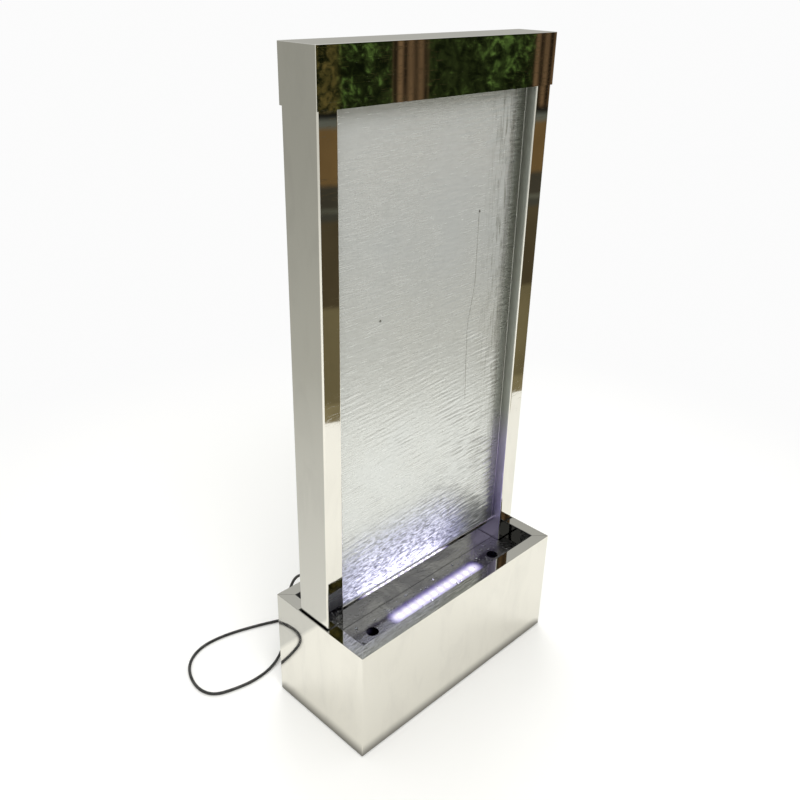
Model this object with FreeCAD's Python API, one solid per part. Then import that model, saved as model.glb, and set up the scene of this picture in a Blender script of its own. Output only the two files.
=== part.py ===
"""Water wall fountain of polished stainless steel: a basin, two square posts, a wet panel and a header.

Millimetres. The origin is the bottom centre of the basin, +X runs along its length, -Y is the front
and +Z is up. Each function makes one group of pieces and saves every piece as a node of its own.
"""
import FreeCAD
import Part
import math
import os

V = FreeCAD.Vector

# Overall size
overall_length = 445.0
overall_depth = 200.0
overall_height = 1015.0

# Basin: folded sheet with an inward rim
basin_rim_z = 198.0
basin_wall = 1.5
rim_width = 20.0
mitre_groove = 0.6
foot_height = 2.0
foot_radius = 10.0
foot_inset = 24.0

# Posts: rectangular tube standing inside the basin
post_width = 32.0
post_depth = 65.0
post_wall = 1.4
post_corner = 2.5
post_front_y = -19.0
post_to_wall = 2.5
notch_gap = 2.0
bracket_leg = 26.0
bracket_thick = 2.0
bracket_length = 50.0

# Header: a folded cap over the posts
header_height = 70.0
header_wall = 1.2
header_gap = 0.3
header_bend = 0.8

# Wet panel between the posts
panel_sheet = 1.2
panel_bottom_z = 200.0
panel_top_below_header = 28.8
panel_return = 12.0
hem_height = 7.0
hem_proud = 2.4

# Cover plates of the reservoir, below the rim
cover_drop = 34.0
cover_sheet = 1.5
cover_gap = 1.0
seam_y = -4.0
drain_front_y = 34.0
drain_width = 16.0
drain_half_length = 150.0
lip_drop = 12.0
finger_hole_radius = 10.0
finger_hole_x = 145.0
finger_hole_y = -39.0
ledge_sheet = 1.2
ledge_reach = 11.0

# Row of lights under the front cover
led_count = 12
led_pitch = 15.8
led_y = -42.0
led_radius = 3.2
led_proud = 2.0
led_hole_gap = 0.5
led_channel_width = 14.0
led_channel_height = 15.0
led_channel_wall = 1.0
led_board_thick = 1.2

# Screws
screw_shank = 2.0
screw_head = 3.6
screw_head_height = 2.2
screw_clearance = 0.05
screw_reach = 6.0

# Pump
pump_to_post = 74.5
pump_length = 60.0
pump_width = 46.0
pump_height = 44.5
pump_y = -55.0
pump_wall = 1.5
pump_corner = 4.0
cup_height = 6.0
cup_radius = 7.0
chamber_radius = 15.0
chamber_depth = 12.0
volute_thick = 2.5
inlet_radius = 7.0
bush_length = 5.0
rotor_radius = 8.8
rotor_length = 27.0
rotor_gap = 0.5
blade_radius = 12.0
blade_thick = 1.4
blade_count = 6
shaft_radius = 1.5
running_gap = 0.05
seat_gap = 0.02
intake_depth = 22.0
outlet_offset = 6.0
barb_length = 22.0
gland_offset = 36.0
gland_z = 24.0
gland_length = 6.0
dial_radius = 10.0
dial_thick = 3.0

# Hose from the pump up inside the right post, and the spray bar in the header
hose_outer = 6.0
hose_inner = 4.25
hose_bend = 30.0
post_bend = 36.0
hose_hole_gap = 1.2
bar_bore = 3.2
bar_below_top = 16.8
bar_hole_pitch = 20.0
clip_from_post = 66.5
trough_depth = 28.0
trough_height = 27.0
trough_sheet = 1.0

# Leads
cord_radius = 2.5
pump_lead_radius = 2.2
led_lead_radius = 1.7
cord_exit_x = -120.0
exit_below_cover = 12.5
relief_length = 28.0
relief_root = 5.2
relief_tip = 3.2
grommet_radius = 9.0
grommet_bore = 4.2
grommet_hole = 6.5

# The lead that is put away, behind the basin
coil_centre = V(20.0, 190.0, 0.0)
coil_radius = 30.0
coil_base_z = 1.0
coil_turns = 4.0625
coil_pitch = 5.05
tie_sheet = 1.0
tie_width = 9.0
tail_length = 28.0
adapter_length = 62.0
adapter_thick = 30.0
adapter_corner = 4.0
adapter_relief = 15.0
pin_radius = 2.0
pin_length = 19.0
pin_spacing = 19.0

# Values that follow from those above
half_x = overall_length / 2
half_y = overall_depth / 2
inner_x = half_x - basin_wall
inner_y = half_y - basin_wall
floor_z = foot_height + basin_wall
mouth_x = half_x - rim_width
mouth_y = half_y - rim_width
post_outer_x = inner_x - post_to_wall
post_inner_x = post_outer_x - post_width
pump_left_x = post_inner_x - pump_to_post
post_x = (post_outer_x + post_inner_x) / 2
post_rear_y = post_front_y + post_depth
post_y = (post_front_y + post_rear_y) / 2
header_top_inside = overall_height - header_wall
header_bottom_z = overall_height - header_height
panel_top_z = header_top_inside - panel_top_below_header
cover_top = basin_rim_z - cover_drop
cover_under = cover_top - cover_sheet
cover_rear_y = seam_y - cover_gap / 2
deck_front_y = seam_y + cover_gap / 2
cord_exit_z = cover_under - exit_below_cover
led_bar_half = led_pitch * (led_count - 1) / 2 + 8.0
pump_bottom_z = floor_z + cup_height
pump_top_z = pump_bottom_z + pump_height
rotor_z = pump_bottom_z + pump_height / 2 - 2.0
bar_z = header_top_inside - bar_below_top
clip_x = post_inner_x - clip_from_post
coil_end_z = coil_base_z + cord_radius + coil_turns * coil_pitch

os.makedirs("parts", exist_ok=True)


def save(name, shape):
    """Writes a piece, or a group of equal pieces, as one node."""
    for solid in shape.Solids:
        if not solid.isValid() or solid.Volume <= 0:
            raise ValueError(name + " isn't a sound solid")
    shape.exportStep("parts/" + name + ".step")


def block(x0, x1, y0, y1, z0, z1):
    return Part.makeBox(x1 - x0, y1 - y0, z1 - z0, V(x0, y0, z0))


def rod(start, direction, radius, length):
    return Part.makeCylinder(radius, length, start, direction)


def mirrored(shape):
    """The same shape on the other side of the middle plane x = 0."""
    return shape.mirror(V(0, 0, 0), V(1, 0, 0))


def rounded(shape, radius, direction):
    """Fillets the straight edges that run along one axis."""
    def runs_along(edge):
        step = edge.Vertexes[-1].Point - edge.Vertexes[0].Point
        return step.Length > 0 and abs(step.normalize().dot(direction)) > 0.99

    return shape.makeFillet(radius, [e for e in shape.Edges if len(e.Vertexes) == 2 and runs_along(e)])


def route_wire(points, radii, name, smallest=0.0):
    """Straight runs joined by tangent arcs. Prints the radii."""
    edges = []
    start = points[0]
    for before, corner, after, radius in zip(points, points[1:], points[2:], radii):
        back = (before - corner).normalize()
        ahead = (after - corner).normalize()
        half_turn = (math.pi - back.getAngle(ahead)) / 2
        reach = radius * math.tan(half_turn)
        inwards = (back + ahead).normalize()
        middle = corner + inwards * (radius / math.cos(half_turn) - radius)
        first = corner + back * reach
        last = corner + ahead * reach
        if (first - start).Length > 1e-6:
            edges.append(Part.LineSegment(start, first).toShape())
        edges.append(Part.Arc(first, middle, last).toShape())
        start = last
    edges.append(Part.LineSegment(start, points[-1]).toShape())
    if radii:
        print(name, "radii", [round(r, 1) for r in radii], "smallest allowed", smallest)
    return Part.Wire(edges)


def free_radii(points):
    """0.45 of the shorter run, divided by the tangent of half the turn, at each corner."""
    radii = []
    for before, corner, after in zip(points, points[1:], points[2:]):
        runs = (corner - before), (after - corner)
        half_turn = runs[0].getAngle(runs[1]) / 2
        radii.append(0.45 * min(runs[0].Length, runs[1].Length) / math.tan(half_turn))
    return radii


def swept(wire, radius, name):
    """A round tube, solid through, along a wire."""
    start = wire.Edges[0].Vertexes[0].Point
    direction = wire.Edges[0].tangentAt(wire.Edges[0].FirstParameter)
    ring = Part.Wire([Part.makeCircle(radius, start, direction)])
    solid = wire.makePipeShell([ring], True, True)
    expected = math.pi * radius ** 2 * wire.Length
    print(name, "length", round(wire.Length, 1), "volume over section x length",
          round(solid.Volume / expected, 4))
    return solid


def screw(head_seat, direction, reach):
    """A pan head screw whose head rests at head_seat and whose shank runs along direction."""
    shank = rod(head_seat, direction, screw_shank, reach)
    head = rod(head_seat - direction * screw_head_height, direction, screw_head, screw_head_height)
    socket = rod(head_seat - direction * screw_head_height, direction, screw_shank * 0.6, 1.2)
    return shank.fuse(head).cut(socket)


def tube_section(x0, x1, y0, y1, z0, z1, corner):
    return rounded(block(x0, x1, y0, y1, z0, z1), corner, V(0, 0, 1))


# The cord outside the basin: out of the strain relief, down the back, along the floor and back.
cord_points = [
    V(cord_exit_x, half_y + 2.0 + relief_length, cord_exit_z), V(cord_exit_x, 161, cord_exit_z),
    V(-123, 186, 128), V(-131, 194, 92), V(-140, 190, 55), V(-152, 177, 24), V(-177, 160, 7),
    V(-212, 146, cord_radius), V(-250, 143, cord_radius), V(-288, 151, cord_radius),
    V(-317, 163, cord_radius), V(-328, 190, cord_radius), V(-322, 226, cord_radius),
    V(-304, 256, cord_radius), V(-270, 274, cord_radius), V(-226, 272, cord_radius),
    V(-174, 256, cord_radius), V(-118, 232, cord_radius), V(-70, 205, cord_radius),
    V(-28, 178, cord_radius), V(8.5, 162.3, coil_base_z + cord_radius)]

# The pump's lead inside the basin, from the cable joint to the pump.
pump_lead_points = [
    V(-104, 91, cord_exit_z), V(-62, 91.5, 146), V(-8, 90, 122), V(46, 82, 76), V(95, 58, 36),
    V(130, 22, 18), V(147, -8, 20), V(148, -26, gland_z)]

# The lights' lead inside the basin, from the channel's end to the cable joint.
led_lead_points = [
    V(-led_bar_half - 2.5, led_y, 153), V(-124, -42, 152), V(-148, -28, 142), V(-163, 8, 132),
    V(-172, 52, 134), V(-170, 82, 146), V(-155, 91, cord_exit_z), V(-136, 91, cord_exit_z)]


def make_basin():
    """An open box of sheet with a rim folded inwards, mitred at its corners and notched at the posts."""
    outside = block(-half_x, half_x, -half_y, half_y, foot_height, basin_rim_z)
    hollow = block(-inner_x, inner_x, -inner_y, inner_y, floor_z, basin_rim_z - basin_wall)
    mouth = block(-mouth_x, mouth_x, -mouth_y, mouth_y, floor_z, basin_rim_z + 1)
    basin = rounded(outside, 1.0, V(0, 0, 1)).cut(hollow).cut(mouth)
    diagonal = rim_width * math.sqrt(2)
    for sx in (-1, 1):
        for sy in (-1, 1):
            groove = block(1.5, diagonal + 1.0, -mitre_groove / 2, mitre_groove / 2, -mitre_groove, 1)
            groove.rotate(V(0, 0, 0), V(0, 0, 1), math.degrees(math.atan2(-sy, -sx)))
            groove.translate(V(sx * half_x, sy * half_y, basin_rim_z))
            basin = basin.cut(groove)
    notch = block(mouth_x - 1, inner_x, post_front_y - notch_gap, post_rear_y + notch_gap,
                  basin_rim_z - basin_wall - 1, basin_rim_z + 1)
    basin = basin.cut(notch).cut(mirrored(notch))
    hole = rod(V(cord_exit_x, inner_y - 1, cord_exit_z), V(0, 1, 0), grommet_hole, basin_wall + 2)
    save("basin", basin.cut(hole))
    pads = [rod(V(sx * (half_x - foot_inset), sy * (half_y - foot_inset), 0), V(0, 0, 1), foot_radius,
                foot_height) for sx in (-1, 1) for sy in (-1, 1)]
    save("foot_pads", Part.makeCompound(pads))


def make_ledges():
    """Angles welded to the walls: they carry the lift-out cover flush with their outer strips."""
    front = block(-inner_x, inner_x, -inner_y, -mouth_y + ledge_reach, cover_under - ledge_sheet, cover_under)
    front = front.fuse(block(-inner_x, inner_x, -inner_y, -inner_y + ledge_sheet,
                             cover_under - 20, cover_under - ledge_sheet))
    save("front_ledge", front)
    y0 = -mouth_y + ledge_reach
    y1 = post_front_y - notch_gap
    strip = block(mouth_x, inner_x, y0, y1, cover_top - ledge_sheet, cover_top)
    step = block(mouth_x, mouth_x + ledge_sheet, y0, y1,
                 cover_under - ledge_sheet, cover_top - ledge_sheet)
    seat = block(mouth_x - ledge_reach, mouth_x, y0, y1, cover_under - ledge_sheet, cover_under)
    ledge = strip.fuse(step).fuse(seat).removeSplitter()
    save("right_ledge", ledge)
    save("left_ledge", mirrored(ledge))


def make_covers():
    """The lift-out front cover with its finger holes, and the fixed rear deck with its drain slot.

    They meet in a narrow seam below the panel's hem, and each has a folded lip along it.
    """
    side = mouth_x - cover_gap
    tongue = post_inner_x - cover_gap
    step_y = post_front_y - notch_gap
    cover = rounded(block(-side, side, -mouth_y + 0.5, step_y, cover_under, cover_top), 1.5, V(0, 0, 1))
    cover = cover.fuse(block(-tongue, tongue, step_y - 5, cover_rear_y, cover_under, cover_top))
    cover = cover.fuse(block(-tongue + 4, tongue - 4, cover_rear_y - cover_sheet, cover_rear_y,
                             cover_under - lip_drop, cover_under)).removeSplitter()
    for sx in (-1, 1):
        cover = cover.cut(rod(V(sx * finger_hole_x, finger_hole_y, cover_under - 1), V(0, 0, 1),
                              finger_hole_radius, cover_sheet + 2))
    for x in led_places():
        cover = cover.cut(rod(V(x, led_y, cover_under - 1), V(0, 0, 1), led_radius + led_hole_gap,
                              cover_sheet + 2))
    save("cover_plate", cover)
    deck = block(-inner_x, inner_x, deck_front_y, inner_y, cover_under, cover_top)
    notch = block(tongue, half_x, deck_front_y - 1, post_rear_y + cover_gap, cover_under - 1, cover_top + 1)
    deck = deck.cut(notch).cut(mirrored(notch))
    deck = deck.cut(block(-drain_half_length, drain_half_length, drain_front_y, drain_front_y + drain_width,
                          cover_under - 1, cover_top + 1))
    deck = deck.fuse(block(-tongue + 4, tongue - 4, deck_front_y, deck_front_y + cover_sheet,
                           cover_under - lip_drop, cover_under))
    deck = deck.fuse(block(-inner_x, cord_exit_x - 40, inner_y - cover_sheet, inner_y,
                           cover_under - lip_drop, cover_under))
    deck = deck.fuse(block(cord_exit_x + 40, inner_x, inner_y - cover_sheet, inner_y,
                           cover_under - lip_drop, cover_under))
    save("rear_deck", deck.removeSplitter())


def led_places():
    return [(i - (led_count - 1) / 2) * led_pitch for i in range(led_count)]


def make_lights():
    """A channel under the cover with a board and clear domes that stand up through the cover's holes."""
    top = cover_under - 1.0
    low = top - led_channel_height
    half = led_channel_width / 2
    channel = block(-led_bar_half, led_bar_half, led_y - half, led_y + half, low, top)
    inside = block(-led_bar_half - 1, led_bar_half + 1, led_y - half + led_channel_wall,
                   led_y + half - led_channel_wall, low + led_channel_wall, top + 1)
    save("led_channel", channel.cut(inside))
    board_low = low + led_channel_wall
    board_top = board_low + led_board_thick
    save("led_board", block(-led_bar_half + 1, led_bar_half - 1, led_y - half + led_channel_wall,
                            led_y + half - led_channel_wall, board_low, board_top))
    domes = []
    for x in led_places():
        dome_z = cover_top + led_proud - led_radius
        stem = rod(V(x, led_y, board_top), V(0, 0, 1), led_radius, dome_z - board_top)
        flange = rod(V(x, led_y, board_top), V(0, 0, 1), led_radius + 1.2, 1.5)
        dome = Part.makeSphere(led_radius, V(x, led_y, dome_z))
        domes.append(stem.fuse(dome).fuse(flange).removeSplitter())
    save("led_domes", Part.makeCompound(domes))
    caps = []
    for sx in (-1, 1):
        x0, x1 = sorted((sx * led_bar_half, sx * (led_bar_half + 2.5)))
        caps.append(block(x0, x1, led_y - half, led_y + half, low, top))
    save("led_end_caps", Part.makeCompound(caps))
    arms = []
    for sx in (-1, 1):
        x0 = sx * led_bar_half * 0.6 - 8
        arm = block(x0, x0 + 16, -mouth_y + ledge_reach - 8, led_y - half, cover_under - ledge_sheet * 2,
                    cover_under - ledge_sheet)
        drop = block(x0, x0 + 16, led_y - half - ledge_sheet, led_y - half, low,
                     cover_under - ledge_sheet * 2)
        arms.append(arm.fuse(drop).removeSplitter())
    save("led_brackets", Part.makeCompound(arms))


def screw_heights():
    span = panel_top_z - panel_bottom_z
    return [panel_bottom_z + span * share for share in (0.08, 0.5, 0.9)]


def make_posts():
    """Two rectangular tubes on the basin's floor, with top plates, foot angles and their screws."""
    y0 = post_front_y
    y1 = post_rear_y
    outer = tube_section(post_inner_x, post_outer_x, y0, y1, floor_z, header_top_inside, post_corner)
    inner = tube_section(post_inner_x + post_wall, post_outer_x - post_wall, y0 + post_wall,
                         y1 - post_wall, floor_z - 1, header_top_inside + 1, post_corner - post_wall)
    post = outer.cut(inner)
    inwards = V(-1, 0, 0)
    screws = []
    for z in screw_heights():
        seat = V(post_inner_x - panel_sheet, panel_sheet / 2 + panel_return / 2, z)
        post = post.cut(rod(seat, V(1, 0, 0), screw_shank + screw_clearance, screw_reach))
        screws.append(screw(seat, V(1, 0, 0), screw_reach))
    bracket = block(post_inner_x - bracket_leg, post_inner_x, post_y - bracket_length / 2,
                    post_y + bracket_length / 2, floor_z, floor_z + bracket_thick)
    bracket = bracket.fuse(block(post_inner_x - bracket_thick, post_inner_x, post_y - bracket_length / 2,
                                 post_y + bracket_length / 2, floor_z, floor_z + bracket_leg))
    foot_screws = []
    for dy in (-15.0, 15.0):
        seat = V(post_inner_x - bracket_thick, post_y + dy, floor_z + bracket_leg * 0.6)
        hole = rod(seat, V(1, 0, 0), screw_shank + screw_clearance, screw_reach)
        post = post.cut(hole)
        bracket = bracket.cut(hole)
        foot_screws.append(screw(seat, V(1, 0, 0), screw_reach))
    bracket = bracket.removeSplitter()
    cap = tube_section(post_inner_x + post_wall, post_outer_x - post_wall, y0 + post_wall,
                       y1 - post_wall, header_top_inside - 2.0, header_top_inside,
                       post_corner - post_wall)
    save("left_post", mirrored(post))
    hose_way = swept(riser_wire(), hose_outer + hose_hole_gap, "hose clearance")
    save("right_post", post.cut(hose_way))
    save("left_post_cap", mirrored(cap))
    save("right_post_cap", cap)
    save("left_foot_angle", mirrored(bracket))
    save("right_foot_angle", bracket)
    save("foot_screws", Part.makeCompound(foot_screws + [mirrored(s) for s in foot_screws]))
    save("panel_screws", Part.makeCompound(screws + [mirrored(s) for s in screws]))


def make_panel():
    """The wet sheet: side edges folded back against the posts, a thick hem along the bottom."""
    half = panel_sheet / 2
    x = post_inner_x
    panel = block(-x, x, -half, half, panel_bottom_z, panel_top_z)
    for sx in (-1, 1):
        x0, x1 = sorted((sx * x, sx * (x - panel_sheet)))
        panel = panel.fuse(block(x0, x1, half, half + panel_return, panel_bottom_z, panel_top_z - 1))
    hem = rounded(block(-x, x, -half - hem_proud, half, panel_bottom_z, panel_bottom_z + hem_height), 1.2,
                  V(1, 0, 0))
    panel = panel.fuse(hem).removeSplitter()
    for z in screw_heights():
        for sx in (-1, 1):
            panel = panel.cut(rod(V(sx * (x - panel_sheet - 1), half + panel_return / 2, z), V(sx, 0, 0),
                                  screw_shank + screw_clearance, panel_sheet + 2))
    save("water_panel", panel)


def make_trough():
    """A narrow trough behind the panel's top edge: it fills from the spray bar and spills over the edge."""
    x = post_inner_x - panel_sheet - header_gap
    y0 = panel_sheet / 2
    y1 = y0 + trough_depth
    low = panel_top_z - trough_height
    body = block(-x, x, y0, y1, low, panel_top_z - 1)
    back = block(-x, x, y1 - trough_sheet, y1, low, bar_z + 4)
    inside = block(-x + trough_sheet, x - trough_sheet, y0 + trough_sheet, y1 - trough_sheet,
                   low + trough_sheet, panel_top_z)
    save("weir_trough", body.cut(inside).fuse(back).removeSplitter())


def riser_wire():
    """The hose's centre line: up from the pump, into the post, up inside it and out to the spray bar."""
    outlet_x = pump_left_x + outlet_offset
    base_z = pump_top_z + 4.0
    level = base_z + 66.0
    points = [V(outlet_x, pump_y, base_z), V(outlet_x, pump_y, level - 4), V(outlet_x + 10, post_y, level),
              V(post_x, post_y, level), V(post_x, post_y, bar_z), V(post_x - post_bend - 8, post_y, bar_z)]
    return route_wire(points, [hose_bend, hose_bend, post_bend, post_bend], "riser hose")


def make_water_way():
    """Riser hose, its clamp, the spray bar with its drilled underside, its end plug and its clips."""
    wire = riser_wire()
    hose = swept(wire, hose_outer, "riser hose").cut(swept(wire, hose_inner, "hose bore"))
    save("riser_hose", hose)
    clamp_z = pump_top_z + 8.0
    centre = V(pump_left_x + outlet_offset, pump_y, clamp_z)
    ring = rod(centre, V(0, 0, 1), hose_outer + 1.0, 7.0).cut(rod(centre, V(0, 0, 1), hose_outer, 7.0))
    ears = block(centre.x - 2.5, centre.x + 2.5, pump_y - hose_outer - 7, pump_y - hose_outer - 0.5,
                 clamp_z, clamp_z + 7)
    save("hose_clamp", ring.fuse(ears).removeSplitter())
    start = V(post_x - post_bend + 6, post_y, bar_z)
    length = start.x + post_inner_x - 18
    bar = rod(start, V(-1, 0, 0), hose_inner, length).cut(rod(start, V(-1, 0, 0), bar_bore, length))
    holes = int((length - 40) / bar_hole_pitch)
    for i in range(holes):
        x = start.x - 30 - i * bar_hole_pitch
        bar = bar.cut(rod(V(x, post_y, bar_z - hose_inner - 1), V(0, 0, 1), 1.0, hose_inner))
    save("spray_bar", bar)
    end = V(start.x - length, post_y, bar_z)
    plug = rod(end, V(1, 0, 0), bar_bore - seat_gap, 6).fuse(rod(end, V(-1, 0, 0), hose_inner + 1.0, 3))
    save("spray_bar_plug", plug.removeSplitter())
    clips = []
    rear = panel_sheet / 2 + trough_depth - trough_sheet
    for x in (-clip_x, 0.0, clip_x):
        clip = block(x - 5, x + 5, post_y - hose_inner - 1.5, rear, bar_z - hose_inner - 1.5, bar_z + 4)
        clip = clip.cut(rod(V(x - 6, post_y, bar_z), V(1, 0, 0), hose_inner + seat_gap, 12))
        clips.append(clip.cut(block(x - 6, x + 6, post_y - 2.5, post_y + 2.5, bar_z, bar_z + 6)))
    save("bar_clips", Part.makeCompound(clips))


def make_header():
    """A folded cap, open below, that drops over the posts and hides the trough and spray bar."""
    reach = header_gap + header_wall
    x = post_outer_x + reach
    outer = block(-x, x, post_front_y - reach, post_rear_y + reach, header_bottom_z, overall_height)
    outer = rounded(outer, header_bend, V(0, 0, 1))
    upper = [e for e in outer.Edges if e.BoundBox.ZMin > overall_height - 0.01]
    outer = outer.makeFillet(header_bend * 0.9, upper)
    xi = post_outer_x + header_gap
    inner = block(-xi, xi, post_front_y - header_gap, post_rear_y + header_gap, header_bottom_z - 1,
                  header_top_inside)
    save("header_cover", outer.cut(inner))


def make_pump():
    """A small submersible pump: potted motor body, impeller, shaft, covers, filter, dial and cups."""
    x0 = pump_left_x
    x1 = x0 + pump_length
    y0 = pump_y - pump_width / 2
    y1 = pump_y + pump_width / 2
    axis = V(1, 0, 0)
    body = rounded(block(x0, x1, y0, y1, pump_bottom_z, pump_top_z), pump_corner, axis)
    chamber_floor = x0 + chamber_depth
    body = body.cut(rod(V(x0 - 1, pump_y, rotor_z), axis, chamber_radius, chamber_depth + 1))
    bore_length = rotor_length + 4.0
    body = body.cut(rod(V(chamber_floor, pump_y, rotor_z), axis, rotor_radius + rotor_gap, bore_length))
    bush_x = chamber_floor + bore_length
    body = body.cut(rod(V(bush_x, pump_y, rotor_z), axis, shaft_radius * 2 + seat_gap, bush_length))
    body = body.cut(rod(V(x0 + outlet_offset, pump_y, rotor_z), V(0, 0, 1), bar_bore, pump_height))
    gland = rod(V(x0 + gland_offset, y1, gland_z), V(0, 1, 0), pump_lead_radius + 2.0, gland_length)
    save("pump_body", body.fuse(gland).removeSplitter())
    bush = rod(V(bush_x, pump_y, rotor_z), axis, shaft_radius * 2, bush_length)
    bush_bore = rod(V(bush_x, pump_y, rotor_z), axis, shaft_radius + seat_gap, bush_length)
    save("shaft_bush", bush.cut(bush_bore))
    cover_x = x0 - volute_thick
    save("impeller_shaft", rod(V(cover_x, pump_y, rotor_z), axis, shaft_radius,
                               bush_x + bush_length - cover_x))
    plate = rod(V(cover_x, pump_y, rotor_z), axis, chamber_radius + 2.0, volute_thick)
    plate = plate.cut(rod(V(cover_x, pump_y, rotor_z), axis, inlet_radius, volute_thick))
    hub = rod(V(cover_x, pump_y, rotor_z), axis, shaft_radius * 2, volute_thick)
    for turn in (90, 210, 330):
        spoke = block(cover_x, cover_x + volute_thick, pump_y + shaft_radius, pump_y + inlet_radius + 0.5,
                      rotor_z - 0.8, rotor_z + 0.8)
        spoke.rotate(V(cover_x, pump_y, rotor_z), axis, turn)
        hub = hub.fuse(spoke)
    hub = hub.cut(rod(V(cover_x, pump_y, rotor_z), axis, shaft_radius + seat_gap, volute_thick))
    save("volute_cover", plate.fuse(hub).removeSplitter())
    rotor_x = chamber_floor + 2.0
    magnet = rod(V(rotor_x, pump_y, rotor_z), axis, rotor_radius, rotor_length)
    disc = rod(V(chamber_floor - 2.5, pump_y, rotor_z), axis, blade_radius, 2.0)
    neck = rod(V(chamber_floor - 2.5, pump_y, rotor_z), axis, 5.0, 5.0)
    impeller = magnet.fuse(disc).fuse(neck)
    for i in range(blade_count):
        blade = block(x0 + 1.0, chamber_floor - 2.0, pump_y + 3.0, pump_y + blade_radius,
                      rotor_z - blade_thick / 2, rotor_z + blade_thick / 2)
        blade.rotate(V(x0, pump_y, rotor_z), axis, 360.0 * i / blade_count)
        impeller = impeller.fuse(blade)
    eye = rod(V(x0 + 1.0, pump_y, rotor_z), axis, 4.0, chamber_depth - 3.0)
    impeller = impeller.fuse(eye).cut(rod(V(x0 - 1, pump_y, rotor_z), axis, shaft_radius + running_gap, 60))
    save("impeller", impeller.removeSplitter())
    barb_base = V(x0 + outlet_offset, pump_y, pump_top_z)
    barb = rod(barb_base, V(0, 0, 1), hose_outer, 3.0)
    barb = barb.fuse(rod(barb_base, V(0, 0, 1), hose_inner, barb_length))
    save("outlet_barb", barb.cut(rod(barb_base, V(0, 0, 1), bar_bore, barb_length)).removeSplitter())
    cx = x0 - intake_depth
    cover = rounded(block(cx, x0, y0, y1, pump_bottom_z, pump_top_z), pump_corner, axis)
    cover = cover.cut(block(cx + pump_wall, x0 + 1, y0 + pump_wall * 2, y1 - pump_wall * 2,
                            pump_bottom_z + pump_wall * 2, pump_top_z - pump_wall * 2))
    for i in range(5):
        z = pump_bottom_z + 6.0 + i * 3.4
        cover = cover.cut(block(cx - 1, cx + pump_wall + 1, y0 + 7, y1 - 7, z, z + 1.6))
    dial_z = pump_top_z - dial_radius - 4.0
    cover = cover.cut(rod(V(cx - 1, pump_y, dial_z), axis, 2.5 + running_gap, pump_wall + 2))
    save("intake_cover", cover)
    save("filter_foam", block(cx + pump_wall + 2.6, cx + pump_wall + 12.6, y0 + pump_wall * 2 + 0.3,
                              y1 - pump_wall * 2 - 0.3, pump_bottom_z + pump_wall * 2,
                              pump_top_z - pump_wall * 2 - 0.3))
    dial = rod(V(cx - 0.1 - dial_thick, pump_y, dial_z), axis, dial_radius, dial_thick)
    dial = dial.fuse(rod(V(cx - 0.1, pump_y, dial_z), axis, 2.5, pump_wall + 2.2))
    grip = block(cx - 3.1 - dial_thick, cx - dial_thick, pump_y - 1.2, pump_y + 1.2, dial_z - 8, dial_z + 8)
    save("flow_dial", dial.fuse(grip).removeSplitter())
    cups = []
    for x in (x0 + 10, x1 - 10):
        for y in (y0 + 10, y1 - 10):
            cups.append(Part.makeCone(cup_radius, 3.5, cup_height, V(x, y, floor_z), V(0, 0, 1)))
    save("suction_cups", Part.makeCompound(cups))


def make_inner_leads():
    """The leads of the pump and lights, and the moulded joint where they meet the supply cord."""
    wire = route_wire(pump_lead_points, free_radii(pump_lead_points), "pump lead", 3 * 2 * pump_lead_radius)
    save("pump_lead", swept(wire, pump_lead_radius, "pump lead"))
    wire = route_wire(led_lead_points, free_radii(led_lead_points), "led lead", 3 * 2 * led_lead_radius)
    save("led_lead", swept(wire, led_lead_radius, "led lead"))
    joint = block(-136, -104, 84, inner_y - 3.0, cord_exit_z - 7, cord_exit_z + 7)
    save("cable_joint", rounded(joint, 2.5, V(1, 0, 0)))


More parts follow.
